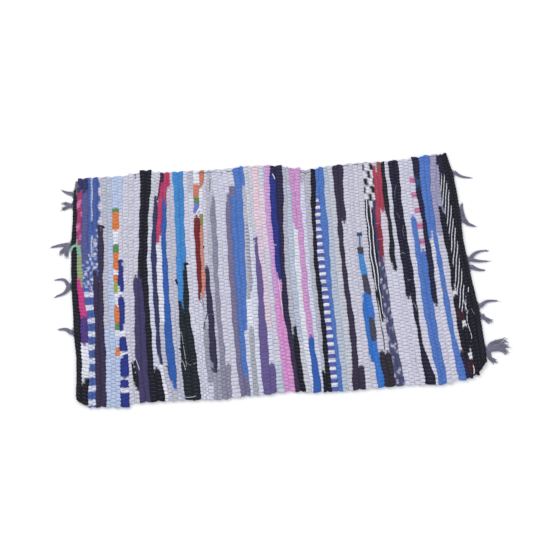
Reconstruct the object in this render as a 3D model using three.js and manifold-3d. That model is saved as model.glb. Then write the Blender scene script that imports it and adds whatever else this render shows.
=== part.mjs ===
// Hand-woven rag rug, lying flat, in millimetres.
// X runs along the warp, Y along the rags, Z up. The origin is on the underside, in the middle of the
// space that the rug and its tassels cover.

import * as THREE from "three";
import { mergeVertices } from "three/addons/utils/BufferGeometryUtils.js";
import Module from "manifold-3d";

const wasm = await Module();
wasm.setup();

// Driving sizes of the weave
const RUG_THICKNESS = 7;
const RAGS_ACROSS = 70;
const ROWS_ALONG_A_RAG = 8;
const VALLEY_DEPTH = 1.1;
const EDGE_ROUNDING = 1.3;
const TURN_NOTCH = 1.6;
const SETTLING_PASSES = 4;

// Driving sizes of the tassels
const EDGE_GAP = 0.3;
const KNOT = { radius: 4.4, height: 6.2, sides: 10, rings: 6 };
const STRAND = { sides: 6, steps: 6, lift: 0.25 };

// Short ends: where the outer rag of each heading lies, from the near long edge to the far one
const SHORT_ENDS = [
  { y: -250, left: -400, right: 399 },
  { y: -225, left: -403, right: 405 },
  { y: -200, left: -402, right: 407 },
  { y: -150, left: -402, right: 407 },
  { y: -100, left: -407, right: 406 },
  { y: -50, left: -409, right: 402 },
  { y: 0, left: -412, right: 399 },
  { y: 50, left: -413, right: 397 },
  { y: 100, left: -413, right: 399 },
  { y: 150, left: -410, right: 399 },
  { y: 200, left: -409, right: 397 },
  { y: 250, left: -403, right: 389 },
];

// Selvedges: how far the rags reach before they turn back, from the left end to the right one
const SELVEDGES = [
  { x: -403, near: -232, far: 241 },
  { x: -400, near: -237, far: 243 },
  { x: -394, near: -244, far: 246 },
  { x: -388, near: -247, far: 248 },
  { x: -380, near: -250, far: 249 },
  { x: -340, near: -253, far: 248 },
  { x: -316, near: -256, far: 247 },
  { x: -290, near: -249, far: 249 },
  { x: -252, near: -249, far: 258 },
  { x: -225, near: -250, far: 249 },
  { x: -160, near: -252, far: 249 },
  { x: -120, near: -255, far: 248 },
  { x: -80, near: -251, far: 248 },
  { x: -45, near: -252, far: 252 },
  { x: 15, near: -248, far: 249 },
  { x: 60, near: -254, far: 240 },
  { x: 90, near: -255, far: 231 },
  { x: 120, near: -256, far: 237 },
  { x: 190, near: -254, far: 241 },
  { x: 250, near: -253, far: 240 },
  { x: 312, near: -258, far: 243 },
  { x: 345, near: -251, far: 249 },
  { x: 370, near: -248, far: 247 },
  { x: 382, near: -242, far: 249 },
  { x: 392, near: -233, far: 251 },
  { x: 399, near: -223, far: 250 },
  { x: 405, near: -212, far: 250 },
];

// Tassels: the place of each knot along its short end, and whether it is on the left or the right
const TASSELS = [
  { name: "tassel_left_1", side: "left", y: 214 },
  { name: "tassel_left_2", side: "left", y: 187 },
  { name: "tassel_left_3", side: "left", y: 97 },
  { name: "tassel_left_4", side: "left", y: 4 },
  { name: "tassel_left_5", side: "left", y: -95 },
  { name: "tassel_right_1", side: "right", y: 203 },
  { name: "tassel_right_2", side: "right", y: 94 },
  { name: "tassel_right_3", side: "right", y: 2 },
  { name: "tassel_right_4", side: "right", y: -14 },
  { name: "tassel_right_5", side: "right", y: -100 },
  { name: "tassel_right_6", side: "right", y: -121 },
  { name: "tassel_right_7", side: "right", y: -193 },
];

// Strands: each leaves its knot, bends once and ends in a tip, flat on the surface
const STRANDS = [
  { tassel: "tassel_left_1", bendX: -424, bendY: 218, tipX: -436, tipY: 226, width: 3.2 },
  { tassel: "tassel_left_2", bendX: -423, bendY: 183, tipX: -434, tipY: 181, width: 3.0 },
  { tassel: "tassel_left_2", bendX: -421, bendY: 191, tipX: -430, tipY: 193, width: 2.6 },
  { tassel: "tassel_left_3", bendX: -437, bendY: 97, tipX: -458.6, tipY: 94, width: 3.4 },
  { tassel: "tassel_left_3", bendX: -428, bendY: 87, tipX: -437, tipY: 78, width: 3.2 },
  { tassel: "tassel_left_3", bendX: -422, bendY: 84, tipX: -424, tipY: 72, width: 2.6 },
  { tassel: "tassel_left_4", bendX: -428, bendY: 23, tipX: -448, tipY: 21, width: 2.8 },
  { tassel: "tassel_left_4", bendX: -427, bendY: -11, tipX: -449, tipY: -17, width: 3.2 },
  { tassel: "tassel_left_5", bendX: -424, bendY: -86, tipX: -440, tipY: -86, width: 3.2 },
  { tassel: "tassel_right_1", bendX: 416, bendY: 193, tipX: 441, tipY: 188, width: 2.6 },
  { tassel: "tassel_right_2", bendX: 408, bendY: 112, tipX: 409, tipY: 132, width: 3.0 },
  { tassel: "tassel_right_2", bendX: 414, bendY: 84, tipX: 429, tipY: 74, width: 3.2 },
  { tassel: "tassel_right_3", bendX: 424, bendY: 18, tipX: 449, tipY: 19, width: 3.0 },
  { tassel: "tassel_right_3", bendX: 420, bendY: 0, tipX: 441, tipY: -4, width: 2.8 },
  { tassel: "tassel_right_4", bendX: 416, bendY: -20, tipX: 434, tipY: -25, width: 3.2 },
  { tassel: "tassel_right_5", bendX: 430, bendY: -92, tipX: 454, tipY: -94, width: 2.8 },
  { tassel: "tassel_right_6", bendX: 417, bendY: -127, tipX: 431, tipY: -136, width: 3.4 },
  { tassel: "tassel_right_7", bendX: 436, bendY: -180, tipX: 458.6, tipY: -177, width: 3.2 },
  { tassel: "tassel_right_7", bendX: 434, bendY: -187, tipX: 457, tipY: -190, width: 3.0 },
  { tassel: "tassel_right_7", bendX: 431, bendY: -193, tipX: 450, tipY: -203, width: 3.0 },
  { tassel: "tassel_right_7", bendX: 417, bendY: -205, tipX: 425, tipY: -221, width: 3.2 },
];

// Value of one column of a table at a place between its rows
function along(table, key, column, at) {
  let next = 1;
  while (next < table.length - 1 && table[next][key] < at) next += 1;
  const low = table[next - 1];
  const high = table[next];
  const share = THREE.MathUtils.clamp((at - low[key]) / (high[key] - low[key]), 0, 1);
  return THREE.MathUtils.lerp(low[column], high[column], share);
}

// Rows lie closer together near the selvedges, where the corners are round
function closerAtTheEdges(share) {
  return (1 - Math.cos(Math.PI * share)) / 2;
}

function ragCotton() {
  return new THREE.MeshStandardMaterial({ color: 0xb4b2c2, roughness: 0.95, metalness: 0 });
}

function warpYarn() {
  return new THREE.MeshStandardMaterial({ color: 0x6c6780, roughness: 0.9, metalness: 0 });
}

// Place in plan of a point at a share u of the way along the rug and v of the way across it. The short
// ends are given by y and the selvedges by x, so the two are brought to agree in a few passes.
function placeInPlan(u, v, rim, nearNotch, farNotch) {
  const middle = SELVEDGES[Math.floor(SELVEDGES.length / 2)];
  let y = THREE.MathUtils.lerp(middle.near, middle.far, v);
  let x = 0;
  for (let pass = 0; pass < SETTLING_PASSES; pass += 1) {
    const left = along(SHORT_ENDS, "y", "left", y) + rim;
    const right = along(SHORT_ENDS, "y", "right", y) - rim;
    x = THREE.MathUtils.lerp(left, right, u);
    const near = along(SELVEDGES, "x", "near", x) + rim + nearNotch;
    const far = along(SELVEDGES, "x", "far", x) - rim - farNotch;
    y = THREE.MathUtils.lerp(near, far, v);
  }
  return { x, y };
}

// The woven rug: a flat slab with a rounded rim. Its underside is flat, its upper side has a ridge for
// each rag, and the selvedges have a notch between each two rags that turn into one another.
function wovenRug() {
  const columns = 2 * RAGS_ACROSS;
  const slab = new THREE.BoxGeometry(1, 1, 1, columns, ROWS_ALONG_A_RAG, 2);
  const corner = slab.attributes.position;
  for (let i = 0; i < corner.count; i += 1) {
    const u = corner.getX(i) + 0.5;
    const v = closerAtTheEdges(corner.getY(i) + 0.5);
    const w = corner.getZ(i) + 0.5;
    const column = Math.round(u * columns);
    const rim = w === 0.5 ? 0 : EDGE_ROUNDING;
    const nearNotch = column % 4 === 2 ? TURN_NOTCH : 0;
    const farNotch = column % 4 === 0 ? TURN_NOTCH : 0;
    const { x, y } = placeInPlan(u, v, rim, nearNotch, farNotch);
    const valley = column % 2 === 0 ? VALLEY_DEPTH : 0;
    const z = w === 1 ? RUG_THICKNESS - valley : w * RUG_THICKNESS;
    corner.setXYZ(i, x, y, z);
  }
  slab.computeVertexNormals();
  const mesh = new THREE.Mesh(slab, ragCotton());
  mesh.name = "rag_rug";
  return mesh;
}

function toSolid(geometry) {
  const bare = geometry.clone();
  bare.deleteAttribute("normal");
  bare.deleteAttribute("uv");
  const merged = mergeVertices(bare, 1e-4);
  const solidMesh = new wasm.Mesh({
    numProp: 3,
    vertProperties: new Float32Array(merged.attributes.position.array),
    triVerts: new Uint32Array(merged.index.array),
  });
  return new wasm.Manifold(solidMesh);
}

function toGeometry(solid) {
  const mesh = solid.getMesh();
  const geometry = new THREE.BufferGeometry();
  geometry.setAttribute("position", new THREE.BufferAttribute(mesh.vertProperties, 3));
  geometry.setIndex(new THREE.BufferAttribute(mesh.triVerts, 1));
  geometry.computeVertexNormals();
  return geometry;
}

// Where a tassel's knot sits: just clear of the outer rag of the heading
function knotPlace(tassel) {
  const outward = tassel.side === "left" ? -1 : 1;
  const edge = along(SHORT_ENDS, "y", tassel.side, tassel.y);
  const reach = KNOT.radius + EDGE_GAP + EDGE_ROUNDING / 2;
  return new THREE.Vector3(edge + outward * reach, tassel.y, KNOT.height / 2);
}

function strandGeometry(knot, strand) {
  const radius = strand.width / 2;
  const path = new THREE.CatmullRomCurve3([
    knot,
    new THREE.Vector3(strand.bendX, strand.bendY, radius + STRAND.lift),
    new THREE.Vector3(strand.tipX, strand.tipY, radius),
  ]);
  const section = new THREE.Shape();
  section.absarc(0, 0, radius, 0, 2 * Math.PI);
  return new THREE.ExtrudeGeometry(section, {
    steps: STRAND.steps,
    curveSegments: STRAND.sides / 2,
    extrudePath: path,
  });
}

// A tassel: warp ends drawn into one knot at the rug's end, with their strands flat on the surface
function tassel(row) {
  const knot = knotPlace(row);
  const ball = new THREE.SphereGeometry(KNOT.radius, KNOT.sides, KNOT.rings);
  ball.rotateX(Math.PI / 2);
  ball.scale(1, 1, KNOT.height / (2 * KNOT.radius));
  ball.translate(knot.x, knot.y, knot.z);
  let solid = toSolid(ball);
  const strands = STRANDS.filter((strand) => strand.tassel === row.name);
  for (const strand of strands) {
    solid = solid.add(toSolid(strandGeometry(knot, strand)));
  }
  const mesh = new THREE.Mesh(toGeometry(solid), warpYarn());
  mesh.name = row.name;
  return mesh;
}

const rug = new THREE.Group();
rug.add(wovenRug());
for (const row of TASSELS) rug.add(tassel(row));

export default rug;
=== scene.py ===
import math

import bmesh
import bpy
import numpy as np
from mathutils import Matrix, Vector


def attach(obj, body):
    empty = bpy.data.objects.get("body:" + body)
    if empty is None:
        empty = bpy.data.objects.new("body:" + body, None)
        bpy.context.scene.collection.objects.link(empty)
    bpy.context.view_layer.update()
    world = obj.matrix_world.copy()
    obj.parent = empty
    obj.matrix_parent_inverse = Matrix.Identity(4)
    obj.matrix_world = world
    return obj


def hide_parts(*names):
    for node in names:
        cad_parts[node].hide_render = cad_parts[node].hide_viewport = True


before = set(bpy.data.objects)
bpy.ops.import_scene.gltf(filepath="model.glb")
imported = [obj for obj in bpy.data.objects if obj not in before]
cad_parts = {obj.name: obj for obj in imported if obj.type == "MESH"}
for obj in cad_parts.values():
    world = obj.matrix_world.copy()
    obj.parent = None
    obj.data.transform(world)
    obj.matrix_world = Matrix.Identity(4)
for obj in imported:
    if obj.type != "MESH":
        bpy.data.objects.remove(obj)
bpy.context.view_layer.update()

# The view: a camera almost straight above the rug, as a person standing at its near long edge
# holds it. The plain pale floor takes the light of a large soft source and of a white room.
CAMERA_DISTANCE = 1.973
CAMERA_ELEVATION = math.radians(68.87)
CAMERA_AZIMUTH = math.radians(4.31)
CAMERA_TARGET = Vector((0.0117, -0.0128, 0.0))
FOCAL_LENGTH_IN_PIXELS = 965.6
PICTURE_WIDTH_IN_PIXELS = 560
SENSOR_WIDTH = 36.0

look = Vector((
    math.sin(CAMERA_AZIMUTH) * math.cos(CAMERA_ELEVATION),
    math.cos(CAMERA_AZIMUTH) * math.cos(CAMERA_ELEVATION),
    -math.sin(CAMERA_ELEVATION),
))
camera_data = bpy.data.cameras.new("camera")
camera_data.sensor_width = SENSOR_WIDTH
camera_data.lens = SENSOR_WIDTH * FOCAL_LENGTH_IN_PIXELS / PICTURE_WIDTH_IN_PIXELS
camera = bpy.data.objects.new("camera", camera_data)
camera.location = CAMERA_TARGET - CAMERA_DISTANCE * look
camera.rotation_euler = look.to_track_quat("-Z", "Y").to_euler()
bpy.context.scene.collection.objects.link(camera)
bpy.context.scene.camera = camera
bpy.context.scene.view_settings.view_transform = "Standard"


def pale_floor_material():
    material = bpy.data.materials.new("pale_floor")
    material.use_nodes = True
    nodes = material.node_tree.nodes
    links = material.node_tree.links
    place = nodes.new("ShaderNodeTexCoord")
    cloud = nodes.new("ShaderNodeTexNoise")
    cloud.inputs["Scale"].default_value = 3.0
    tone = nodes.new("ShaderNodeValToRGB")
    tone.color_ramp.elements[0].color = (0.90, 0.90, 0.91, 1)
    tone.color_ramp.elements[1].color = (0.94, 0.94, 0.94, 1)
    links.new(place.outputs["Object"], cloud.inputs["Vector"])
    links.new(cloud.outputs["Fac"], tone.inputs["Fac"])
    links.new(tone.outputs["Color"], nodes["Principled BSDF"].inputs["Base Color"])
    nodes["Principled BSDF"].inputs["Roughness"].default_value = 0.85
    nodes["Principled BSDF"].inputs["Specular IOR Level"].default_value = 0.2
    return material


FLOOR_SIZE = 8.0
floor_mesh = bpy.data.meshes.new("floor")
floor_shape = bmesh.new()
bmesh.ops.create_grid(floor_shape, x_segments=4, y_segments=4, size=FLOOR_SIZE / 2)
floor_shape.to_mesh(floor_mesh)
floor_shape.free()
floor_mesh.materials.append(pale_floor_material())
floor = bpy.data.objects.new("floor", floor_mesh)
bpy.context.scene.collection.objects.link(floor)

room = bpy.data.worlds.new("white_room")
room.use_nodes = True
room.node_tree.nodes["Background"].inputs["Color"].default_value = (0.97, 0.98, 1.0, 1)
room.node_tree.nodes["Background"].inputs["Strength"].default_value = 0.78
bpy.context.scene.world = room

SOFT_LIGHTS = [
    {"name": "window", "place": (-1.3, 1.5, 2.3), "size": 1.6, "watts": 39.0},
    {"name": "fill", "place": (1.6, -1.2, 2.0), "size": 2.0, "watts": 13.0},
]
for row in SOFT_LIGHTS:
    light_data = bpy.data.lights.new(row["name"], "AREA")
    light_data.size = row["size"]
    light_data.energy = row["watts"]
    light = bpy.data.objects.new(row["name"], light_data)
    light.location = row["place"]
    light.rotation_euler = (-Vector(row["place"])).to_track_quat("-Z", "Y").to_euler()
    bpy.context.scene.collection.objects.link(light)


# The rags: strips of used cotton cloth, beaten in one beside the next across the rug's width. Each
# runs from one selvedge to the other and there turns round the outer warp thread into its neighbour.
# A warp thread presses it down at every second crossing, so it stands up in rows of beads.
chance = np.random.default_rng(7)
MM = 0.001
FULL_TURN = 6.28

SHORT_ENDS = {
    "y": [-250, -225, -200, -150, -100, -50, 0, 50, 100, 150, 200, 250],
    "left": [-400, -403, -402, -402, -407, -409, -412, -413, -413, -410, -409, -403],
    "right": [399, 405, 407, 407, 406, 402, 399, 397, 399, 399, 397, 389],
}
SELVEDGES = {
    "x": [-403, -400, -394, -388, -380, -340, -316, -290, -252, -225, -160, -120, -80, -45,
          15, 60, 90, 120, 190, 250, 312, 345, 370, 382, 392, 399, 405],
    "near": [-234, -239, -244, -247, -250, -253, -256, -249, -249, -250, -252, -255, -251, -252,
             -248, -254, -255, -256, -254, -253, -258, -251, -248, -243, -237, -229, -219],
    "far": [241, 243, 246, 248, 249, 248, 247, 249, 258, 249, 249, 248, 248, 252,
            249, 240, 231, 237, 241, 240, 243, 249, 247, 249, 251, 250, 250],
}

# Rags from the left short end to the right one. First the x of the right-hand side of the rag in mm,
# at the y of each of these stations, then its cloths from the far selvedge to the near one, with the
# y in mm where each cloth ends.
STATIONS = [240, 160, 80, 0, -80, -160, -240]
RAGS = [
    ((-399, -402, -402, -400, -394, -392, -391), "heather 220 black"),
    ((-389, -391, -392, -388, -380, -377, -379),
     "navy 215 pink_mottle 95 mint 72 lime 15 hot_pink -65 violet -122 white -193 black"),
    ((-378, -378, -378, -375, -371, -370, -371), "navy 212 violet_grey 52 blue_mottle -8 blue_blocks"),
    ((-368, -368, -369, -368, -365, -365, -364),
     "royal_line 148 royal 112 royal_line 66 blue_mottle -12 blue_blocks"),
    ((-358, -358, -358, -357, -358, -355, -354), "royal 120 blue_mottle 32 plum"),
    ((-350, -348, -346, -348, -347, -344, -344),
     "royal_frayed 150 lilac 135 plum"),
    ((-338, -338, -337, -338, -337, -334, -334), "light_grey -90 light_blue"),
    ((-328, -327, -327, -326, -325, -325, -325), "grey_blue 105 light_blue"),
    ((-316, -314, -315, -318, -316, -316, -316),
     "light_blue 172 green 162 orange 121 white 90 green 70 orange 31 white 22 orange 5 "
     "yellow_green -18 white -44 orange -83 green -98 white -112 light_blue -134 orange -151 "
     "light_blue"),
    ((-304, -306, -307, -306, -305, -300, -299),
     "light_blue 165 lilac 50 indigo -16 white -27 indigo -98 white -112 indigo -143 white -150 "
     "indigo -196 white -201 indigo -218 white -227 indigo"),
    ((-292, -294, -296, -296, -295, -293, -289), "lilac"),
    ((-280, -282, -284, -286, -285, -286, -279), "lilac -165 flecked -222 lilac"),
    ((-267, -270, -274, -277, -274, -274, -268), "lilac 15 violet_dark"),
    ((-255, -260, -264, -268, -264, -263, -258), "black 12 violet_dark"),
    ((-243, -251, -256, -257, -254, -251, -244), "black"),
    ((-233, -241, -248, -248, -245, -242, -230), "pale_green 120 pale -183 black"),
    ((-225, -233, -238, -238, -236, -234, -222), "pale_green 192 navy -172 white"),
    ((-217, -223, -227, -226, -226, -225, -214), "plum 225 magenta_worn 88 white -90 lavender_grey"),
    ((-210, -214, -217, -215, -213, -208, -205), "magenta_worn 185 royal_bright -225 lavender_grey"),
    ((-204, -206, -207, -206, -204, -202, -198), "magenta 213 lavender_grey"),
    ((-198, -197, -197, -198, -196, -196, -192), "lavender_grey"),
    ((-187, -186, -187, -185, -186, -179, -176), "azure -48 dark_green"),
    ((-176, -177, -178, -176, -174, -166, -160), "azure 35 dark_green"),
    ((-167, -167, -168, -166, -165, -160, -155), "lavender -62 white -108 lavender"),
    ((-154, -157, -158, -156, -156, -154, -150), "light_grey 195 lavender"),
    ((-142, -145, -147, -148, -148, -148, -144),
     "white 215 orange_dull 184 green 170 violet_blue 148 white 140 dark_red -45 lavender"),
    ((-132, -138, -140, -140, -139, -138, -134),
     "orange_dull 208 white 145 olive 118 salmon_orange -40 lavender_grey -98 ash -222 lavender"),
    ((-125, -130, -131, -131, -127, -125, -128), "lilac 25 plum_navy -195 ash"),
    ((-119, -122, -122, -122, -121, -119, -118), "light_grey -192 ash"),
    ((-116, -112, -111, -113, -112, -109, -109), "pale_green 182 mid_grey"),
    ((-105, -101, -101, -102, -101, -98, -100), "lavender -185 mid_grey"),
    ((-93, -90, -91, -91, -90, -88, -83), "lavender"),
    ((-81, -79, -80, -79, -78, -78, -73), "lavender 185 mauve_grey"),
    ((-70, -67, -69, -69, -69, -67, -64), "lavender 205 mauve_grey 182 cornflower -212 mauve_grey"),
    ((-55, -53, -55, -57, -60, -58, -58), "cornflower -115 pale"),
    ((-47, -46, -45, -45, -48, -49, -48),
     "cornflower 205 light_grey 120 grey_dotted -50 white -112 grey_green"),
    ((-37, -37, -36, -35, -37, -40, -38), "pale_green 110 pale"),
    ((-29, -31, -30, -24, -24, -22, -24), "pale_green 78 violet_soft"),
    ((-16, -19, -17, -14, -12, -12, -12), "salmon 110 pale_pink -120 pale -190 violet_soft"),
    ((-4, -7, -6, -4, -3, 0, 3), "pale_green 200 pale_pink 60 lilac -190 pale_blue"),
    ((9, 4, 5, 5, 8, 10, 13), "orchid -45 orchid_pink"),
    ((20, 18, 17, 15, 13, 20, 24), "black_indigo 226 indigo -12 orchid_pink"),
    ((36, 32, 26, 24, 25, 29, 33), "black_indigo -125 plum"),
    ((43, 40, 35, 34, 35, 39, 44), "light_grey -118 black"),
    ((49, 49, 47, 45, 46, 48, 56), "light_grey 200 pale_blue -150 pale_green"),
    ((61, 58, 57, 56, 56, 59, 60), "orchid_deep 98 white"),
    ((74, 68, 68, 67, 68, 70, 75), "orchid_deep -140 royal_bright"),
    ((84, 78, 77, 76, 77, 79, 80), "light_grey 200 pale"),
    ((96, 90, 87, 84, 86, 86, 86), "light_grey -212 black"),
    ((107, 100, 94, 93, 95, 95, 95), "black"),
    ((113, 108, 106, 106, 107, 108, 108), "cornflower 168 bead_print"),
    ((123, 120, 120, 116, 115, 116, 117), "cornflower"),
    ((132, 131, 130, 128, 128, 129, 127), "pale_blue"),
    ((141, 142, 140, 140, 141, 142, 137), "pale_green"),
    ((153, 151, 150, 149, 152, 154, 149), "plum_dark"),
    ((165, 160, 160, 160, 162, 164, 162), "plum_dark 104 lilac -208 plum_dark"),
    ((176, 172, 170, 169, 173, 175, 174), "lilac"),
    ((187, 182, 178, 177, 182, 183, 185), "lilac -60 azure_deep -200 lilac"),
    ((197, 192, 188, 189, 195, 194, 199),
     "lilac 78 azure_dark 70 stem 46 dark_grey 29 azure -16 dark_grey -60 azure_deep -110 "
     "dark_grey -158 azure_deep"),
    ((207, 203, 200, 200, 204, 207, 209), "lilac -182 black_brown"),
    ((218, 216, 216, 215, 215, 217, 220), "spotted 150 thin_lines -118 lilac -183 black_brown"),
    ((229, 225, 221, 221, 222, 225, 230), "spotted 146 violet_dark 22 slate_print"),
    ((238, 235, 231, 229, 230, 233, 239), "cream 228 red 100 red_deep 22 slate_print"),
    ((247, 243, 245, 240, 241, 244, 249), "rust 222 red 125 cream -5 lavender"),
    ((254, 253, 253, 252, 252, 255, 259), "green_black -10 lavender"),
    ((262, 262, 261, 264, 263, 266, 269), "lavender"),
    ((273, 271, 271, 275, 274, 277, 279), "black_blue -72 lavender"),
    ((284, 281, 281, 284, 284, 284, 299), "black_blue"),
    ((294, 292, 294, 295, 295, 298, 305), "lavender"),
    ((304, 303, 306, 305, 306, 308, 312), "lavender 104 cornflower"),
    ((313, 314, 317, 316, 316, 318, 322), "lavender 214 pink_blocks 28 cornflower"),
    ((328, 325, 326, 328, 326, 329, 333), "navy_dark 192 azure_dark 172 navy_dark -92 lavender"),
    ((340, 335, 335, 337, 338, 341, 345), "cornflower 55 lavender"),
    ((352, 345, 344, 346, 349, 351, 361), "cornflower"),
    ((367, 356, 356, 360, 358, 359, 367), "grey_mauve 60 lilac -192 navy_dark"),
    ((371, 365, 368, 368, 367, 369, 374),
     "navy_dark 222 grey_mauve 122 black -62 white -74 black -107 maroon -128 black -213 "
     "maroon -240 navy_dark"),
    ((376, 373, 376, 376, 376, 377, 381),
     "navy_dark 198 diagonal -106 maroon -129 white -142 black -196 white -210 maroon -236 "
     "black"),
    ((379, 382, 384, 384, 384, 385, 388), "navy_dark 192 diagonal -110 black"),
    ((385, 390, 391, 391, 393, 395, 394), "black"),
    ((391, 399, 398, 399, 404, 407, 401), "black"),
]

# Cloths of one colour, in the 0 to 255 numbers of a paint chart
PLAIN_CLOTHS = {
    "heather": (128, 108, 124), "black": (26, 26, 37), "black_blue": (32, 31, 52),
    "navy": (52, 54, 96), "pink": (160, 62, 112), "pink_pale": (206, 120, 168),
    "mint": (134, 178, 156), "lime": (150, 165, 121), "hot_pink": (196, 62, 130),
    "violet": (80, 58, 128), "white": (222, 223, 234), "violet_grey": (86, 88, 144),
    "royal": (70, 94, 162), "plum": (55, 46, 74), "light_grey": (184, 184, 199),
    "light_blue": (181, 195, 223), "grey_blue": (180, 189, 208), "pale_green": (200, 202, 213),
    "green": (94, 134, 84), "orange": (216, 122, 64), "orange_dull": (201, 124, 102),
    "yellow_green": (150, 170, 72), "indigo": (39, 51, 131), "lilac": (203, 202, 217),
    "violet_dark": (66, 60, 100), "pale": (209, 212, 230), "magenta": (185, 60, 106),
    "royal_bright": (48, 94, 174), "lavender_grey": (190, 190, 206), "azure": (66, 136, 203),
    "dark_green": (29, 36, 42), "lavender": (208, 207, 224), "violet_blue": (110, 118, 196),
    "dark_red": (116, 34, 40), "maroon": (60, 32, 46), "salmon_orange": (202, 138, 124),
    "olive": (134, 140, 78), "plum_navy": (52, 48, 76), "mid_grey": (140, 139, 160),
    "mauve_grey": (119, 114, 148), "cornflower": (82, 121, 196), "grey_green": (164, 168, 177),
    "violet_soft": (101, 88, 142), "blue_violet": (86, 96, 168), "salmon": (230, 204, 216),
    "pale_pink": (220, 201, 218),
    "orchid": (203, 160, 212), "orchid_deep": (204, 152, 202), "pale_blue": (184, 194, 212),
    "plum_dark": (54, 46, 69), "azure_dark": (44, 76, 118), "dark_grey": (68, 68, 86),
    "black_brown": (46, 42, 52), "navy_dark": (36, 36, 62), "cream": (208, 200, 214),
    "rust": (140, 88, 82), "red": (172, 66, 90), "green_black": (30, 34, 38),
    "grey_mauve": (160, 156, 188), "ash": (154, 155, 172), "slate": (76, 78, 116),
    "black_indigo": (42, 38, 70), "orchid_pink": (212, 148, 204), "azure_deep": (54, 116, 200),
    "red_deep": (140, 44, 66), "crimson": (208, 70, 96),
}


def drifting(x, y, size, turn):
    """Slow irregular waves over the cloth, from about -1 to 1, for blotches of a given size in mm."""
    wave = np.sin(FULL_TURN * (x * 0.8 + y * 0.6) / size + turn)
    wave = wave + np.sin(FULL_TURN * (x * -0.5 + y * 0.9) / (0.71 * size) + 2.3 * turn)
    wave = wave + np.sin(FULL_TURN * (x * 0.95 - y * 0.4) / (0.53 * size) + 3.1 * turn)
    return wave / 2.2


def step_up(value, sharpness):
    return np.clip(0.5 + value * sharpness, 0, 1)


# Printed cloths: the ground, the colour printed on it, and how much of it shows at a place x, y in mm
# and at a share s of the way across the rag
PRINTED_CLOTHS = {
    "pink_mottle": ("pink", "pink_pale", lambda x, y, s: step_up(drifting(x, y, 34, 2.6) - 0.35, 1.5)),
    "blue_mottle": ("royal", "white",
                    lambda x, y, s: 0.8 * step_up(drifting(1.3 * x, 0.5 * y, 10, 1.0) - 0.35, 2.5)),
    "royal_frayed": ("royal", "lilac",
                     lambda x, y, s: step_up(s - 0.45 + 0.3 * np.sin(FULL_TURN * y / 34), 4)),
    "magenta_worn": ("magenta", "crimson",
                     lambda x, y, s: 0.8 * step_up(drifting(1.5 * x, 0.35 * y, 20, 4.0) - 0.45, 1.5)),
    "blue_blocks": ("royal", "pale",
                    lambda x, y, s: step_up(np.cos(FULL_TURN * (y + 18) / 28)
                                            + 0.2 * drifting(x, y, 7, 3) - 0.3, 3)),
    "royal_line": ("royal", "pale", lambda x, y, s: 0.85 * step_up(0.12 - np.abs(s - 0.86), 14)),
    "flecked": ("black", "lilac", lambda x, y, s: step_up(drifting(x, 0.45 * y, 9, 2.0) - 0.95, 4)),
    "grey_dotted": ("light_grey", "dark_grey",
                    lambda x, y, s: 0.6 * step_up(np.cos(FULL_TURN * y / 8) - 0.2, 3) * (s > 0.3)),
    "bead_print": ("blue_violet", "white",
                   lambda x, y, s: step_up(np.cos(FULL_TURN * (y - 142) / 16.7) - 0.2, 3)),
    "spotted": ("white", "black",
                lambda x, y, s: step_up(np.cos(FULL_TURN * (x + 0.14 * y - 218) / 19)
                                        * np.cos(FULL_TURN * (y - 193) / 36) - 0.05, 4)),
    "slate_print": ("slate", "lilac",
                    lambda x, y, s: 0.7 * step_up(drifting(x, 0.6 * y, 14, 5.0)
                                                  + 0.7 * drifting(x, y, 37, 1.0) - 0.7, 2)),
    "pink_blocks": ("lavender", "hot_pink",
                    lambda x, y, s: 0.75 * step_up(np.cos(FULL_TURN * (y - 155) / 35.7) - 0.4, 3)),
    "stem": ("lilac", "azure_dark", lambda x, y, s: step_up(0.14 - np.abs(s - 0.45), 12)),
}
# Black cloths with fine white lines, too fine for the mesh to carry: how many lines have passed at a
# place x, y in mm and at a share s of the way across the rag
LINED_CLOTHS = {
    "diagonal": lambda x, y, s: (x - 0.2 * y) / 6.1,
    "thin_lines": lambda x, y, s: 2.0 * s + 0.15,
}


def dye(name):
    """The light a cloth gives back, from its number on the paint chart."""
    chart = np.array(PLAIN_CLOTHS[name]) / 255
    return np.where(chart <= 0.04045, chart / 12.92, ((chart + 0.055) / 1.055) ** 2.4)


def cloth_colour(name, x, y, s):
    """The colours of a plain or printed cloth at places in mm."""
    if name not in PRINTED_CLOTHS:
        return np.broadcast_to(dye(ground_of(name)), x.shape + (3,)).copy()
    ground, printed, how_much = PRINTED_CLOTHS[name]
    share = how_much(x, y, s)[..., None]
    return dye(ground) * (1 - share) + dye(printed) * share


def ground_of(name):
    if name in LINED_CLOTHS:
        return "black"
    return name if name in PLAIN_CLOTHS else PRINTED_CLOTHS[name][0]


def cloths_of(words):
    """The cloths of a rag, each with the y in mm where it ends."""
    parts = words.split()
    ends = [float(part) for part in parts[1::2]] + [-1000.0]
    return list(zip(parts[0::2], ends))


WARPS = 129
WARP_INSET = 5.0
WARP_SWAY = 0.3
RAG_WANDER = 0.55
sway_size = chance.uniform(0.3, 1.0, WARPS) * WARP_SWAY
sway_turn = chance.uniform(0, FULL_TURN, WARPS)
sway_length = chance.uniform(90, 220, WARPS)
side_chart = np.array([row[0] for row in RAGS], float)
wander_turn = chance.uniform(0, FULL_TURN, (len(RAGS) + 1, 2))


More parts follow.
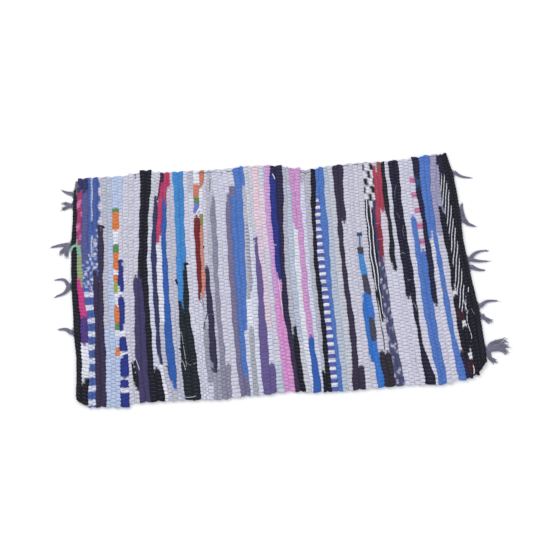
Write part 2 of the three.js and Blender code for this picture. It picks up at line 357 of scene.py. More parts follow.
def rag_side(number, y):
    """The x in mm of the boundary on the right of a rag, at places y. Number 0 is the left end."""
    if number == 0:
        return np.interp(y, SHORT_ENDS["y"], SHORT_ENDS["left"])
    if number == len(RAGS):
        return np.interp(y, SHORT_ENDS["y"], SHORT_ENDS["right"])
    column = side_chart[number - 1]
    slope = np.gradient(column)
    place = np.clip((STATIONS[0] - y) / (STATIONS[0] - STATIONS[1]), 0, len(STATIONS) - 1.001)
    row = place.astype(int)
    t = place - row
    start = (1 + 2 * t) * (1 - t) ** 2 * column[row] + t * (1 - t) ** 2 * slope[row]
    finish = t * t * (3 - 2 * t) * column[row + 1] + t * t * (t - 1) * slope[row + 1]
    first, second = wander_turn[number]
    return start + finish + RAG_WANDER * (np.sin(y / 17 + first) + np.sin(y / 7.3 + second))


def warp_line(warp, x):
    """The y in mm of a warp thread, or of a place between two of them, at places x."""
    near = np.interp(x, SELVEDGES["x"], SELVEDGES["near"]) + WARP_INSET
    far = np.interp(x, SELVEDGES["x"], SELVEDGES["far"]) - WARP_INSET
    before = np.clip(np.floor(warp), 0, WARPS - 2).astype(int)
    share = np.clip(warp - before, 0, 1)
    sway = sway_size * np.sin(x[..., None] / sway_length + sway_turn)
    low = np.take_along_axis(sway, before[..., None], -1)[..., 0]
    high = np.take_along_axis(sway, before[..., None] + 1, -1)[..., 0]
    return near + (far - near) * warp / (WARPS - 1) + low * (1 - share) + high * share


RAG_SIDES = 10
RINGS_PER_WARP = 3
TURN_RINGS = 5
MIDDLE_HEIGHT = 3.45
CROWN_HEIGHT = 3.4
PINCH_HEIGHT = 1.95
BEAD_ROUNDNESS = 0.65
SECTION_SQUARENESS = 0.6
PINCH_NARROWING = 0.19
CROWN_SPREADING = 0.14
TURN_SQUARENESS = 0.8
OUTER_TURN_SQUARENESS = 0.45
CREASE_DEPTH = 0.2
TURN_CROWN = 0.9
TURN_FLATTENING = 0.1
ROUGH_HALF_WIDTH = 245
LOWEST_PLACE = 0.02
# Slow swelling along a rag: how much it is, and over how many warps it comes and goes
SWELLINGS = (0.05, 0.04)
SWELLING_LENGTHS = (5.1, 2.3)
CREASE_LENGTHS = (6, 22)
# How much one bead differs from the next: its height, its place and its colour
BEAD_UNEVENNESS = 0.07
BEAD_NUDGE = 0.03
BEAD_FADING = 0.03
RAG_FADING = 0.035
# Where a rag's cloth changes, the darker cloth ends in a rounded tip, shorter on a short cloth
FAR_END = 250
NEAR_END = -250
SHORT_CLOTH = 20
LONG_CLOTH = 80
TAPER = 11.0
SHORTEST_TAPER = 0.04
FRAY_DEPTH = 0.8
EDGE_SHARPNESS = 0.8
# Thick spots: the rag's number, then the y and the half length of the spot in mm
KNOBS = {6: (128, 8), 38: (74, 7), 59: (74, 6)}
KNOB_HEIGHT = 1.3

weave_rings = RINGS_PER_WARP * (WARPS - 1) + 1
rag_rings = weave_rings + 2 * TURN_RINGS


def plain_rag():
    """A closed straight tube, one unit long, with a ring for each step of the weave."""
    shape = bmesh.new()
    bmesh.ops.create_cone(
        shape, cap_ends=True, segments=RAG_SIDES, radius1=1, radius2=1, depth=1
    )
    along = [e for e in shape.edges if abs(e.verts[0].co.z - e.verts[1].co.z) > 0.5]
    bmesh.ops.subdivide_edges(shape, edges=along, cuts=rag_rings - 2)
    mesh = bpy.data.meshes.new("plain_rag")
    shape.to_mesh(mesh)
    shape.free()
    return mesh


rag_pattern = plain_rag()
straight = np.zeros(3 * len(rag_pattern.vertices))
rag_pattern.vertices.foreach_get("co", straight)
straight = straight.reshape(-1, 3)
ring = np.rint((0.5 - straight[:, 2]) * (rag_rings - 1)).astype(int)
half_side = math.pi / RAG_SIDES
around = np.arctan2(straight[:, 1], straight[:, 0])
around = np.rint(around / half_side) * half_side
if not np.any(np.isclose(around, math.pi / 2)):
    around = around + half_side
column = np.rint((around + math.pi) / (2 * half_side)).astype(int) % RAG_SIDES


def rounded(value):
    return np.sign(value) * np.abs(value) ** SECTION_SQUARENESS


across = rounded(np.cos(around))
height = rounded(np.sin(around))
warp_at_ring = np.clip((ring - TURN_RINGS) / RINGS_PER_WARP, 0, WARPS - 1)
near_turn = np.clip((TURN_RINGS - ring) / TURN_RINGS, 0, 1)
far_turn = np.clip((ring - (rag_rings - 1 - TURN_RINGS)) / TURN_RINGS, 0, 1)
is_top = height > 0
BEADS_TO_SPARE = 4


def bead_by_bead(number, kind, spread):
    """One random number for each bead of a rag."""
    return np.random.default_rng(1000 * kind + number).uniform(-spread, spread, WARPS + BEADS_TO_SPARE)


def turned_back(number, x, y, z, left, right, share):
    """A rag whose two ends bend round the outer warp threads to the rags beside it."""
    is_first = number == 0
    is_last = number == len(RAGS) - 1
    far_side = 1 if number % 2 == 0 and not is_last else 0
    near_side = 1 if (number % 2 == 1 or is_first) and not is_last else 0
    squareness = OUTER_TURN_SQUARENESS if is_first or is_last else TURN_SQUARENESS
    for turn, side, outward in ((far_turn, far_side, 1), (near_turn, near_side, -1)):
        pivot = left + (right - left) * side
        reach_out = WARP_INSET * np.abs(share - side)
        swing = np.clip(np.cos(turn * math.pi / 2), 0, 1) ** squareness
        push = np.clip(np.sin(turn * math.pi / 2), 0, 1) ** squareness
        x = np.where(turn > 0, pivot + (x - pivot) * swing, x)
        y = np.where(turn > 0, y + outward * reach_out * push, y)
        z = MIDDLE_HEIGHT + (z - MIDDLE_HEIGHT) * (1 - TURN_FLATTENING * turn)
    return x, y, z


def cloths_on_rag(number, rng, x, y, share):
    """The colour of a rag at each place, whether fine lines show there, and the count of them."""
    cloths = cloths_of(RAGS[number][1])
    colour = cloth_colour(cloths[0][0], x, y, share)
    lined = np.full(len(x), float(cloths[0][0] in LINED_CLOTHS))
    line_count = np.zeros(len(x))
    for cloth, _ in cloths:
        if cloth in LINED_CLOTHS:
            line_count = LINED_CLOTHS[cloth](x, y, share)
    start = FAR_END
    for (above, end), (below, next_end) in zip(cloths, cloths[1:]):
        darkens = dye(ground_of(below)).sum() < dye(ground_of(above)).sum()
        room = end - max(next_end, NEAR_END) if darkens else start - end
        taper = TAPER * np.clip((room - SHORT_CLOTH) / (LONG_CLOTH - SHORT_CLOTH), SHORTEST_TAPER, 1)
        lean = rng.choice([-1, 0, 1])
        tip = 1 - (2 * share - 1 + 0.5 * lean) ** 2
        edge = end + (taper if darkens else -taper) * (tip - 0.6)
        frayed_edge = edge + FRAY_DEPTH * np.sin(y * 1.3 + 9 * share)
        here = step_up(frayed_edge - y, EDGE_SHARPNESS)
        lined = lined * (1 - here) + (below in LINED_CLOTHS) * here
        here = here[:, None]
        colour = colour * (1 - here) + cloth_colour(below, x, y, share) * here
        start = end
    return colour, lined, line_count


def woven_rag(number):
    """One rag of the rug, pressed into beads by the warp, with its dyes."""
    bead = (warp_at_ring + number) / 2
    crown_top = np.abs(np.sin(math.pi * bead)) ** BEAD_ROUNDNESS
    crown_below = np.abs(np.cos(math.pi * bead)) ** BEAD_ROUNDNESS
    crown = np.where(is_top, crown_top, crown_below)
    crown = np.where(near_turn + far_turn > 0, np.maximum(crown, TURN_CROWN), crown)
    bead_number = np.floor(np.where(is_top, bead, bead + 0.5)).astype(int) % (WARPS + BEADS_TO_SPARE)
    tallness = 1 + bead_by_bead(number, 1, BEAD_UNEVENNESS)[bead_number]
    rng = np.random.default_rng(500 + number)
    slow = rng.uniform(0, FULL_TURN, 2)
    fullness = 1
    for swelling, length, turn in zip(SWELLINGS, SWELLING_LENGTHS, slow):
        fullness = fullness + swelling * np.sin(warp_at_ring / length + turn)
    reach = PINCH_HEIGHT + (CROWN_HEIGHT - PINCH_HEIGHT) * crown * tallness * fullness
    width = 1 + CROWN_SPREADING * crown - PINCH_NARROWING * (1 - crown)
    nudge = BEAD_NUDGE * bead_by_bead(number, 2, 1.0)[bead_number] * crown
    share = 0.5 + 0.5 * across * width + nudge
    y = np.interp(warp_at_ring, [0, WARPS - 1], [-ROUGH_HALF_WIDTH, ROUGH_HALF_WIDTH])
    for settling in range(3):
        left = rag_side(number, y)
        right = rag_side(number + 1, y)
        x = left + (right - left) * share
        y = warp_line(warp_at_ring, x)
    turns = rng.uniform(0, FULL_TURN, (2, RAG_SIDES))
    lengths = rng.uniform(*CREASE_LENGTHS, (2, RAG_SIDES))
    crease = np.sin(y / lengths[0][column] * 3 + turns[0][column])
    crease = crease + np.sin(y / lengths[1][column] * 2 + turns[1][column])
    z = MIDDLE_HEIGHT + height * reach + CREASE_DEPTH * crease * crown * np.sign(height)
    if number + 1 in KNOBS:
        knob_y, knob_size = KNOBS[number + 1]
        z = z + KNOB_HEIGHT * np.exp(-(((y - knob_y) / knob_size) ** 2)) * is_top * height
    x, y, z = turned_back(number, x, y, z, left, right, share)
    z = np.maximum(z, LOWEST_PLACE)

    colour, lined, line_count = cloths_on_rag(number, rng, x, y, share)
    tone = 1 + rng.uniform(-RAG_FADING, RAG_FADING)
    tone = tone * (1 + bead_by_bead(number, 3, BEAD_FADING)[bead_number])
    colour = np.clip(colour * tone[:, None], 0, 1)

    mesh = rag_pattern.copy()
    mesh.vertices.foreach_set("co", (np.column_stack([x, y, z]) * MM).ravel())
    dyes = mesh.attributes.new("dye", "FLOAT_COLOR", "POINT")
    dyes.data.foreach_set("color", np.column_stack([colour, np.ones(len(x))]).ravel())
    # The crown attribute also sets the painted shade towards the pinches, in the rag cloth material.
    for name, values in (("crown", crown), ("lined", lined), ("line_count", line_count)):
        mesh.attributes.new(name, "FLOAT", "POINT").data.foreach_set("value", values)
    mesh.polygons.foreach_set("use_smooth", np.ones(len(mesh.polygons), bool))
    mesh.update()
    return bpy.data.objects.new(f"rag_{number + 1}", mesh)


def joined(objects, name):
    """Several objects made one piece."""
    for part in objects:
        bpy.context.scene.collection.objects.link(part)
    with bpy.context.temp_override(
        active_object=objects[0],
        selected_objects=objects,
        selected_editable_objects=objects,
    ):
        bpy.ops.object.join()
    objects[0].name = name
    objects[0].data.name = name
    return objects[0]


def attribute(nodes, name):
    node = nodes.new("ShaderNodeAttribute")
    node.attribute_name = name
    return node


def noise(nodes, links, place, scale, detail=2):
    """Cloudy noise with puffs of one size at places in metres."""
    node = nodes.new("ShaderNodeTexNoise")
    node.inputs["Scale"].default_value = scale
    node.inputs["Detail"].default_value = detail
    links.new(place, node.inputs["Vector"])
    return node.outputs["Fac"]


def ranged(nodes, links, value, low, high, to_low, to_high):
    """A value brought from one range to another, and held at the ends of it."""
    node = nodes.new("ShaderNodeMapRange")
    node.inputs["From Min"].default_value = low
    node.inputs["From Max"].default_value = high
    node.inputs["To Min"].default_value = to_low
    node.inputs["To Max"].default_value = to_high
    links.new(value, node.inputs["Value"])
    return node.outputs["Result"]


def multiplied(nodes, links, first, second):
    node = nodes.new("ShaderNodeMath")
    node.operation = "MULTIPLY"
    links.new(first, node.inputs[0])
    links.new(second, node.inputs[1])
    return node.outputs["Value"]


def toned(nodes, links, colour, tone):
    """A colour made lighter or darker."""
    node = nodes.new("ShaderNodeVectorMath")
    node.operation = "SCALE"
    links.new(colour, node.inputs[0])
    links.new(tone, node.inputs["Scale"])
    return node.outputs["Vector"]


def bumped(nodes, links, height, strength, distance):
    node = nodes.new("ShaderNodeBump")
    node.inputs["Strength"].default_value = strength
    node.inputs["Distance"].default_value = distance
    links.new(height, node.inputs["Height"])
    return node


# Folds along each rag, used as bumps and as painted shade and light in the rag colour.
FOLDS_ALONG_THE_RAG = (700, 110, 700)
YARNS_OF_THE_CLOTH = 420
LINE_WAVERING = 5.0


def rag_cloth_material():
    """Washed cotton: its dye, mottled, with painted shade towards the pinches between the beads and
    painted shade and light along the folds, with folds along the strip and a weave.
    """
    material = bpy.data.materials.new("rag_cloth")
    material.use_nodes = True
    nodes = material.node_tree.nodes
    links = material.node_tree.links
    cloth = nodes["Principled BSDF"]
    cloth.inputs["Roughness"].default_value = 0.92
    cloth.inputs["Specular IOR Level"].default_value = 0.08
    cloth.inputs["Sheen Weight"].default_value = 0.06
    cloth.inputs["Sheen Roughness"].default_value = 0.6
    place = nodes.new("ShaderNodeTexCoord").outputs["Object"]

    mottled = ranged(nodes, links, noise(nodes, links, place, 160, 4), 0.3, 0.7, 0.88, 1.10)
    # Painted shade: the colour is darkened towards the pinches between the beads, where the warp presses
    # the rag down, and kept at full tone on the crowns.
    painted_pinch_shade = ranged(nodes, links, attribute(nodes, "crown").outputs["Fac"], 0.0, 0.8, 0.93, 1.0)
    stretched = nodes.new("ShaderNodeMapping")
    stretched.inputs["Scale"].default_value = FOLDS_ALONG_THE_RAG
    links.new(place, stretched.inputs["Vector"])
    folds = noise(nodes, links, stretched.outputs["Vector"], 1.0, 3)
    # Painted shade and light: the same fold noise that bumps the cloth also darkens the colour in the
    # fold hollows and lightens it on the fold ridges.
    painted_fold_shade_and_light = ranged(nodes, links, folds, 0.3, 0.7, 0.90, 1.20)
    tone = multiplied(nodes, links, multiplied(nodes, links, mottled, painted_pinch_shade), painted_fold_shade_and_light)
    dyed = toned(nodes, links, attribute(nodes, "dye").outputs["Color"], tone)

    across_lines = nodes.new("ShaderNodeMath")
    across_lines.operation = "MULTIPLY"
    across_lines.inputs[1].default_value = 2 * math.pi
    links.new(attribute(nodes, "line_count").outputs["Fac"], across_lines.inputs[0])
    wavering = nodes.new("ShaderNodeMath")
    wavering.operation = "MULTIPLY_ADD"
    wavering.inputs[1].default_value = LINE_WAVERING
    links.new(noise(nodes, links, place, 25), wavering.inputs[0])
    links.new(across_lines.outputs["Value"], wavering.inputs[2])
    line_wave = nodes.new("ShaderNodeMath")
    line_wave.operation = "COSINE"
    links.new(wavering.outputs["Value"], line_wave.inputs[0])
    line = ranged(nodes, links, line_wave.outputs["Value"], 0.45, 0.75, 0, 1)
    line_here = multiplied(nodes, links, line, attribute(nodes, "lined").outputs["Fac"])
    printed = nodes.new("ShaderNodeMixRGB")
    printed.inputs["Color2"].default_value = (*dye("white"), 1)
    links.new(line_here, printed.inputs["Fac"])
    links.new(dyed, printed.inputs["Color1"])
    links.new(printed.outputs["Color"], cloth.inputs["Base Color"])

    yarns = []
    for direction in ("X", "Y"):
        wave = nodes.new("ShaderNodeTexWave")
        wave.bands_direction = direction
        wave.inputs["Scale"].default_value = YARNS_OF_THE_CLOTH
        wave.inputs["Distortion"].default_value = 1.5
        wave.inputs["Detail"].default_value = 1
        links.new(place, wave.inputs["Vector"])
        yarns.append(wave.outputs["Fac"])
    fold_bump = bumped(nodes, links, folds, 1.0, 0.0013)
    weave_bump = bumped(nodes, links, multiplied(nodes, links, *yarns), 0.8, 0.0003)
    links.new(fold_bump.outputs["Normal"], weave_bump.inputs["Normal"])
    links.new(weave_bump.outputs["Normal"], cloth.inputs["Normal"])
    return material


RAGS_PER_BAND = 8
rag_cloth = rag_cloth_material()
for first in range(0, len(RAGS), RAGS_PER_BAND):
    members = [woven_rag(number) for number in range(first, first + RAGS_PER_BAND)]
    band = joined(members, f"rags_{first + 1}_to_{first + RAGS_PER_BAND}")
    band.data.materials.clear()
    band.data.materials.append(rag_cloth)
    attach(band, "root")
    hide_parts("rag_rug")
bpy.data.meshes.remove(rag_pattern)


# The warp: grey mauve plied cotton threads that run the whole length of the rug. Each passes over
# one rag and under the next, and its neighbour does the opposite.
WARP_RADIUS = 0.36
WARP_PRESS = 0.22
SHARES_ON_A_RAG = (0.0, 0.3, 0.7)


def thread_curve(name, roundness):
    """An empty set of threads. Those of roundness 0 have four sides, and of 1 and 2 more."""
    data = bpy.data.curves.new(name, "CURVE")
    data.dimensions = "3D"
    data.bevel_depth = MM
    data.bevel_resolution = roundness
    data.use_fill_caps = True
    return data


def add_thread(data, points, radii):
    """A thread through points in mm, with its radius in mm at each."""
    spline = data.splines.new("POLY")
    spline.points.add(len(points) - 1)
    flat = np.column_stack([np.asarray(points) * MM, np.ones(len(points))])
    spline.points.foreach_set("co", flat.ravel())
    spline.points.foreach_set("radius", np.broadcast_to(radii, len(points)).astype(float))


def spun(data, name, material):
    """The threads of a curve as one mesh piece."""
    source = bpy.data.objects.new(name + "_lines", data)
    bpy.context.scene.collection.objects.link(source)
    bpy.context.view_layer.update()
    graph = bpy.context.evaluated_depsgraph_get()
    mesh = bpy.data.meshes.new_from_object(source.evaluated_get(graph))
    bpy.data.objects.remove(source)
    mesh.name = name
    mesh.materials.clear()
    mesh.materials.append(material)
    mesh.polygons.foreach_set("use_smooth", np.ones(len(mesh.polygons), bool))
    return bpy.data.objects.new(name, mesh)


def yarn_material(name, dark, pale):
    """Plied cotton yarn: two shades of grey mauve in a twist, fluffy and matt."""
    material = bpy.data.materials.new(name)
    material.use_nodes = True
    nodes = material.node_tree.nodes
    links = material.node_tree.links
    yarn = nodes["Principled BSDF"]
    yarn.inputs["Roughness"].default_value = 0.9
    yarn.inputs["Specular IOR Level"].default_value = 0.15
    yarn.inputs["Sheen Weight"].default_value = 0.15
    place = nodes.new("ShaderNodeTexCoord").outputs["Object"]
    twist = nodes.new("ShaderNodeTexWave")
    twist.bands_direction = "DIAGONAL"
    twist.inputs["Scale"].default_value = 190
    twist.inputs["Distortion"].default_value = 1.0
    links.new(place, twist.inputs["Vector"])
    shade = nodes.new("ShaderNodeValToRGB")
    shade.color_ramp.elements[0].color = (dark, dark * 0.95, dark * 1.4, 1)
    shade.color_ramp.elements[1].color = (pale, pale * 0.95, pale * 1.35, 1)
    links.new(twist.outputs["Fac"], shade.inputs["Fac"])
    fading = ranged(nodes, links, noise(nodes, links, place, 60), 0, 1, 0.75, 1.3)
    links.new(toned(nodes, links, shade.outputs["Color"], fading), yarn.inputs["Base Color"])
    bump = bumped(nodes, links, twist.outputs["Fac"], 0.7, 0.0003)
    links.new(bump.outputs["Normal"], yarn.inputs["Normal"])
    return material


warp_yarn = yarn_material("warp_yarn", 0.055, 0.125)
middle_rag = len(RAGS) // 2
WARP_END_INSET = 0.8


def warp_half(name, first, last):
    """The warp threads over the rags from first up to last, cut just inside the rug's ends."""
    data = thread_curve(name, 0)
    for warp in range(WARPS):
        points = []
        y = np.array([warp_line(np.array([float(warp)]), np.array([0.0]))[0]])
        for number in range(first, last):
            for share in SHARES_ON_A_RAG:
                for settling in range(2):
                    left = rag_side(number, y)
                    right = rag_side(number + 1, y)
                    x = left + (right - left) * share
                    y = warp_line(np.array([float(warp)]), x)
                over = 1 if (warp + number) % 2 == 0 else -1
                rise = 0 if share == 0 else over * (PINCH_HEIGHT + WARP_PRESS)
                points.append((x[0], y[0], MIDDLE_HEIGHT + rise))
        end_x = rag_side(last, y)[0]
        inward = -WARP_END_INSET if last == len(RAGS) else 0.0
        points.append((end_x + inward, y[0], MIDDLE_HEIGHT))
        if first == 0:
            points[0] = (points[0][0] + WARP_END_INSET, points[0][1], points[0][2])
        add_thread(data, points, WARP_RADIUS)
    piece = spun(data, name, warp_yarn)
    bpy.context.scene.collection.objects.link(piece)
    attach(piece, "root")
    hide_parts("rag_rug")
    return piece


warp_left = warp_half("warp_left", 0, middle_rag)
warp_right = warp_half("warp_right", middle_rag, len(RAGS))


# The tassels: at the short ends some warp threads are drawn together, tied in an overhand knot and
# left to fray. Their ends lie flat on the floor.
tassel_yarn = yarn_material("tassel_yarn", 0.10, 0.25)
KNOT_RADIUS = 4.4
KNOT_GAP = 0.95
KNOT_HEIGHT = 3.1
KNOT_SPREAD = 0.95
KNOT_RISE = 1.15
KNOT_YARN_RADIUS = 1.55
# Each tassel: the y of its knot in mm, then its strands, with the places in mm that one passes, its
# width, and whether it closes to a point like a wisp or opens like a brush
TASSELS = {
    "tassel_left_1": (214, [([(-424, 218), (-436, 226)], 4.4, "wisp")]),
    "tassel_left_2": (187, [
        ([(-423, 183), (-434, 181)], 4.2, "brush"),
        ([(-421, 191), (-430, 193)], 3.8, "brush"),
    ]),
    "tassel_left_3": (97, [
        ([(-437, 97), (-458, 94)], 5.0, "wisp"),
        ([(-428, 87), (-437, 78)], 4.8, "brush"),
        ([(-422, 84), (-424, 72)], 4.0, "brush"),
    ]),
    "tassel_left_4": (4, [
        ([(-428, 20), (-448, 21)], 4.2, "wisp"),
        ([(-427, -9), (-449, -17)], 4.8, "wisp"),
    ]),
    "tassel_left_5": (-95, [([(-424, -87), (-440, -86)], 4.8, "wisp")]),
    "tassel_right_1": (203, [([(410, 196), (422, 191), (441, 188)], 3.8, "wisp")]),
    "tassel_right_2": (94, [
        ([(404, 118), (408, 132)], 5.6, "wisp"),
        ([(413, 82), (429, 75)], 6.0, "wisp"),
    ]),
    "tassel_right_3": (2, [
        ([(416, 14), (430, 19), (449, 19)], 4.4, "wisp"),
        ([(424, -3), (444, -4)], 4.0, "wisp"),
    ]),
    "tassel_right_4": (-14, [([(418, -21), (434, -24)], 4.8, "wisp")]),
    "tassel_right_5": (-100, [([(427, -91), (453, -92)], 4.4, "wisp")]),
    "tassel_right_6": (-121, [([(416, -127), (430, -136)], 4.8, "brush")]),
    "tassel_right_7": (-193, [
        ([(424, -180), (458, -177)], 5.4, "brush"),
        ([(434, -188), (457, -189)], 4.8, "brush"),
        ([(436, -194), (452, -202)], 5.0, "brush"),
        ([(414, -210), (424, -220)], 5.2, "brush"),
    ]),
}
YARN_RADIUS = 0.8
YARNS_PER_STRAND = 8
BRUSH_FIBRES = 26
WISP_FIBRES = 8
PLACES_ALONG_A_STRAND = 26
# How high a strand lies from its knot to its tip, how wide and thick it is for its stated width, and
# how far along it the yarns of a brush begin to part
STRAND_HEIGHTS = (2.4, 1.4)
STRAND_SPREAD = 0.56
STRAND_THICKNESS = 0.26
PARTING_PLACE = 0.45
TWIST_LENGTH = 3.2
YARN_THINNING = 0.55
FIBRE_LENGTHS = (5, 11)
FIBRE_MIDDLE_HEIGHTS = (0.5, 2.5)
FIBRE_TIP_HEIGHTS = (0.3, 1.5)
FIBRE_RADII = (0.28, 0.12)
LONGEST_REACH = 57
FEEDER_RADIUS = 0.5
FEEDER_OFFSETS = (-15, -11, -7.5, -4, 0, 4, 7.5, 11, 15)


def bowed(points, count):
    """A smooth line through a few points, as many points as asked."""
    corners = [np.array(p, float) for p in points]
    corners = [2 * corners[0] - corners[1]] + corners + [2 * corners[-1] - corners[-2]]
    line = []
    for place in np.linspace(0, len(corners) - 3, count):
        i = min(int(place), len(corners) - 4)
        t = place - i
        a, b, c, d = corners[i:i + 4]
        line.append(0.5 * (2 * b + (c - a) * t + (2 * a - 5 * b + 4 * c - d) * t * t
                           + (3 * b - a - 3 * c + d) * t ** 3))
    return np.array(line)


def tie_knot(thick, knot, rng):
    """An overhand knot of thick yarn: a loop that passes through itself."""
    t = np.linspace(0, 2 * math.pi, 44)
    loop = np.column_stack([
        KNOT_SPREAD * (np.sin(t) + 2 * np.sin(2 * t)),
        KNOT_SPREAD * (np.cos(t) - 2 * np.cos(2 * t)),
        KNOT_RISE * -np.sin(3 * t),
    ])
    turn = rng.uniform(0, FULL_TURN)
    spin = np.array([
        [math.cos(turn), -math.sin(turn), 0],
        [math.sin(turn), math.cos(turn), 0],
        [0, 0, 1],
    ])
    add_thread(thick, loop @ spin.T + knot, KNOT_YARN_RADIUS)


def twist_yarns(yarns, path, ahead, aside, width, is_brush, rng):
    """The yarns of a strand, wound round each other. They part near the tip of a brush."""
    upward = np.cross(ahead, aside)
    way = np.linspace(0, 1, len(path))
    length = np.linalg.norm(np.diff(path, axis=0), axis=1).sum()
    loose = np.clip((way - PARTING_PLACE) / (1 - PARTING_PLACE), 0, 1) ** 1.5
    for yarn in range(YARNS_PER_STRAND):
        angle = FULL_TURN * yarn / YARNS_PER_STRAND + way * length / TWIST_LENGTH
        opening = 1 + loose * rng.uniform(0.6, 1.8) if is_brush else 1 - 0.7 * way ** 2
        ring_radius = STRAND_SPREAD * width * opening * (1 + 0.6 * (1 - way) ** 2)
        drift = loose * rng.uniform(-1.0, 1.0) * width * (0.6 if is_brush else 0.1)
        shift = np.cos(angle) * ring_radius + drift
        lift = np.sin(angle) * STRAND_THICKNESS * width * (1 - 0.6 * way)
        line = path + aside * shift[:, None] + upward * lift[:, None]
        line[:, 2] = np.maximum(np.abs(line[:, 2]), YARN_RADIUS)
        short = max(int(len(path) * rng.uniform(0.78, 1.0)), 8)
        add_thread(yarns, line[:short], YARN_RADIUS * (1 - YARN_THINNING * way[:short] ** 3))


def fray_fibres(fibres, path, ahead, aside, width, is_brush, limit, rng):
    """Fine fibres that stand off the outer half of a strand."""
    for fibre in range(BRUSH_FIBRES if is_brush else WISP_FIBRES):
        start = int(len(path) * rng.uniform(0.45, 0.9))
        root = path[start] + aside[start] * rng.uniform(-0.5, 0.5) * width * (1 if is_brush else 0.4)
        heading = ahead[start] + aside[start] * rng.uniform(-0.5, 0.5) * (1 if is_brush else 0.5)
        stop = root + heading * rng.uniform(*FIBRE_LENGTHS)
        middle = (root + stop) / 2 + aside[start] * rng.uniform(-1.2, 1.2)
        middle[2] = rng.uniform(*FIBRE_MIDDLE_HEIGHTS)
        stop[2] = rng.uniform(*FIBRE_TIP_HEIGHTS)
        stop[0] = np.clip(stop[0], -limit, limit)
        add_thread(fibres, bowed([root, middle, stop], 7), np.linspace(*FIBRE_RADII, 7))


def tassel_piece(name, knot_y, strands):
    """Warp ends gathered from both sides of the knot, the knot, and the strands beyond it."""
    outward = -1 if "left" in name else 1
    end = 0 if outward < 0 else len(RAGS)
    edge = rag_side(end, np.array([float(knot_y)]))[0]
    knot = np.array([edge + outward * (KNOT_RADIUS + KNOT_GAP), knot_y, KNOT_HEIGHT])
    rng = np.random.default_rng(abs(knot_y) + 7 * len(strands))
    thick = thread_curve(name, 2)
    yarns = thread_curve(name, 1)
    fibres = thread_curve(name, 0)
    tie_knot(thick, knot, rng)
    for places, width, shape in strands:
        is_brush = shape == "brush"
        heights = np.linspace(*STRAND_HEIGHTS, len(places))
        corners = [knot] + [(*place, z) for place, z in zip(places, heights)]
        path = bowed(corners, PLACES_ALONG_A_STRAND)
        ahead = np.gradient(path, axis=0)
        ahead = ahead / np.linalg.norm(ahead, axis=1)[:, None]
        aside = np.column_stack([-ahead[:, 1], ahead[:, 0], np.zeros(len(path))])
        aside = aside / np.linalg.norm(aside, axis=1)[:, None]
        twist_yarns(yarns, path, ahead, aside, width, is_brush, rng)
        fray_fibres(fibres, path, ahead, aside, width, is_brush, abs(edge) + LONGEST_REACH, rng)
    for offset in FEEDER_OFFSETS:
        y = knot_y + offset
        inner = rag_side(end, np.array([float(y)]))[0]
        start = (inner - outward * 2.0, y, MIDDLE_HEIGHT)
        bend = (inner + outward * 1.1, y - 0.35 * offset, 3.0 + rng.uniform(-0.6, 0.6))
        add_thread(yarns, bowed([start, bend, knot], 9), FEEDER_RADIUS)
    parts = [spun(data, name, tassel_yarn) for data in (thick, yarns, fibres)]
    piece = joined(parts, name + "_yarn")
    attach(piece, "root")
    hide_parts(name)
    return piece


tassels = [tassel_piece(name, knot_y, strands) for name, (knot_y, strands) in TASSELS.items()]


# Loose ends: tips of rags and odd threads that stand out of the weave and lie on top of it, and at
# the left end a mint rag that loops over the black heading. Cotton, held only by the weave.
TOP_OF_WEAVE = 6.7
THICK_END = 1.5
SINKING = 0.35
WAVE_HEIGHT = 0.3
TIP_DROP = 1.4
TIP_THINNING = 0.45
LOOSE_END_FLATNESS = 0.6
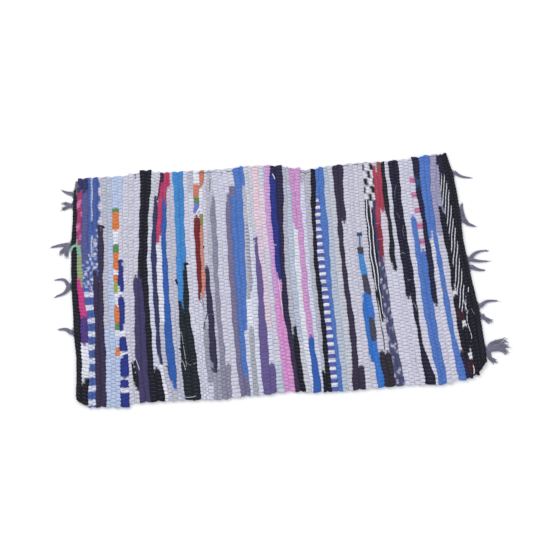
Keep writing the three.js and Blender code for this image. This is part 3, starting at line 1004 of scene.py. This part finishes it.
# The cloth of each loose end, its radius in mm, and the places in mm that it passes
LOOSE_ENDS = [
    ("white", 0.35, [(-193, -110), (-190, -140), (-186, -178), (-187, -187)]),
    ("white", 0.30, [(-186, -176), (-177, -181), (-166, -177)]),
    ("black", 2.2, [(-200, 3), (-199, -3), (-197, -9)]),
    ("black_blue", 1.4, [(-199, -143), (-195, -152), (-191, -161)]),
    ("black_blue", 1.7, [(-195, -196), (-190, -206), (-186, -216)]),
    ("lilac", 1.1, [(-176, -61), (-172, -84), (-168, -108)]),
    ("lilac", 0.9, [(-171, -66), (-166, -84), (-164, -98)]),
    ("plum_navy", 0.4, [(-155, -42), (-149, -56), (-144, -70)]),
    ("dark_red", 0.5, [(-150, -40), (-147, -50), (-145, -61)]),
    ("plum_navy", 0.9, [(-138, -74), (-145, -92), (-149, -112)]),
    ("plum_navy", 1.5, [(-138, -188), (-130, -199), (-122, -196)]),
    ("white", 0.28, [(-141, -80), (-132, -79), (-124, -79)]),
    ("pink_pale", 0.5, [(-225, 207), (-216, 203), (-208, 208)]),
    ("white", 1.2, [(13, 229), (16, 221), (18, 214)]),
    ("white", 0.7, [(3, 64), (7, 63), (11, 62)]),
    ("white", 0.9, [(8, -8), (10, -44), (12, -92)]),
    ("black", 1.1, [(-280, 249), (-276, 245), (-277, 238)]),
    ("black", 1.3, [(-293, -165), (-291, -183), (-289, -204)]),
    ("black", 1.6, [(-284, -183), (-282, -200), (-281, -220)]),
    ("white", 0.6, [(-285, -160), (-281, -173), (-278, -184)]),
    ("white", 0.5, [(-198, -166), (-192, -174), (-189, -185), (-187, -195)]),
    ("white", 0.6, [(-192, -245), (-179, -246), (-165, -243)]),
    ("mint", 3.0, [(-413, 78), (-411, 88), (-405, 92), (-398, 89), (-395, 80), (-394, 68)]),
    ("heather", 2.2, [(-397, 226), (-401, 231), (-404, 229)]),
    ("mid_grey", 0.35, [(275, 184), (269, 168), (265, 141)]),
    ("mid_grey", 0.35, [(265, 118), (269, 112), (271, 103)]),
    ("mid_grey", 0.35, [(277, 88), (274, 74), (275, 56)]),
    ("light_grey", 0.4, [(263, 24), (268, 26), (273, 23)]),
    ("light_grey", 0.4, [(267, -31), (272, -35), (277, -34)]),
    ("light_grey", 0.4, [(274, -81), (279, -90), (281, -101)]),
    ("pink_pale", 0.4, [(229, 166), (233, 185), (232, 200)]),
    ("pink_pale", 0.8, [(219, 95), (226, 96), (233, 95)]),
    ("pink_pale", 0.8, [(219, 59), (226, 60), (233, 58)]),
    ("black", 1.2, [(204, -47), (206, -66), (210, -101), (215, -117)]),
    ("black", 0.8, [(205, -124), (208, -152), (207, -180)]),
    ("plum", 4.6, [(-357, 134), (-351, 131), (-345, 130)]),
    ("plum", 2.4, [(-351, 130), (-349, 122), (-349, 112)]),
    ("violet_soft", 3.2, [(-36, 79), (-32, 80), (-28, 81)]),
    ("violet_soft", 1.6, [(-34, 79), (-33, 66), (-32, 48)]),
    ("plum", 1.5, [(-224, 232), (-227, 207), (-234, 178)]),
    ("dark_green", 3.0, [(-180, 33), (-177, 35), (-174, 34)]),
    ("white", 2.2, [(-151, 148), (-147, 154), (-143, 161)]),
    ("indigo", 2.6, [(-316, 50), (-311, 52), (-307, 49)]),
    ("green_black", 1.0, [(247, 22), (249, 5), (254, -9)]),
    ("white", 0.7, [(380, -64), (378, -83), (381, -108), (379, -134), (383, -163), (380, -174)]),
    ("white", 1.0, [(392, -59), (391, -64), (390, -70)]),
    ("mid_grey", 0.6, [(391, -104), (393, -112), (396, -119)]),
    ("white", 1.1, [(377, -222), (378, -232), (376, -242)]),
    ("azure_dark", 1.2, [(-226, -178), (-222, -183), (-221, -190)]),
    ("dark_grey", 0.5, [(-118, 240), (-119, 224), (-121, 205), (-123, 193)]),
    ("dark_grey", 0.5, [(-150, 242), (-132, 241), (-119, 241), (-106, 240)]),
    ("dark_grey", 0.5, [(-98, 237), (-85, 239), (-70, 242)]),
    ("dark_grey", 0.6, [(72, 229), (83, 223), (94, 227)]),
    ("dark_grey", 0.5, [(138, 233), (152, 234), (167, 235), (191, 236), (213, 238)]),
    ("black", 1.2, [(-140, 73), (-140, 69), (-139, 65)]),
]


def loose_piece(name, rows):
    """Loose ends of one half of the rug, a little sunk in the weave, with their tips tucked in."""
    parts = []
    for colour, radius, places in rows:
        data = thread_curve(name, 2 if radius > THICK_END else 0)
        line = bowed([(*place, TOP_OF_WEAVE) for place in places], 8 * len(places))
        way = np.linspace(0, 1, len(line))
        from_middle = np.abs(2 * way - 1)
        line[:, 2] = line[:, 2] - SINKING * radius + WAVE_HEIGHT * np.sin(9 * way)
        line[:, 2] = line[:, 2] - TIP_DROP * from_middle ** 6
        add_thread(data, line, radius * (1 - TIP_THINNING * from_middle ** 3))
        part = spun(data, name, rag_cloth)
        dyes = part.data.attributes.new("dye", "FLOAT_COLOR", "POINT")
        count = len(part.data.vertices)
        spots = np.zeros(3 * count)
        part.data.vertices.foreach_get("co", spots)
        above = spots[2::3] - TOP_OF_WEAVE * MM
        spots[2::3] = TOP_OF_WEAVE * MM + above * LOOSE_END_FLATNESS
        part.data.vertices.foreach_set("co", spots)
        dyes.data.foreach_set("color", np.tile([*dye(colour), 1.0], count))
        # Loose ends get crown 1 everywhere, so no painted pinch shade.
        crowns = part.data.attributes.new("crown", "FLOAT", "POINT")
        crowns.data.foreach_set("value", np.ones(count))
        parts.append(part)
    piece = joined(parts, name)
    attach(piece, "root")
    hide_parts("rag_rug")
    return piece


loose_left = loose_piece("loose_ends_left", [row for row in LOOSE_ENDS if row[2][0][0] < 0])
loose_right = loose_piece("loose_ends_right", [row for row in LOOSE_ENDS if row[2][0][0] > 0])
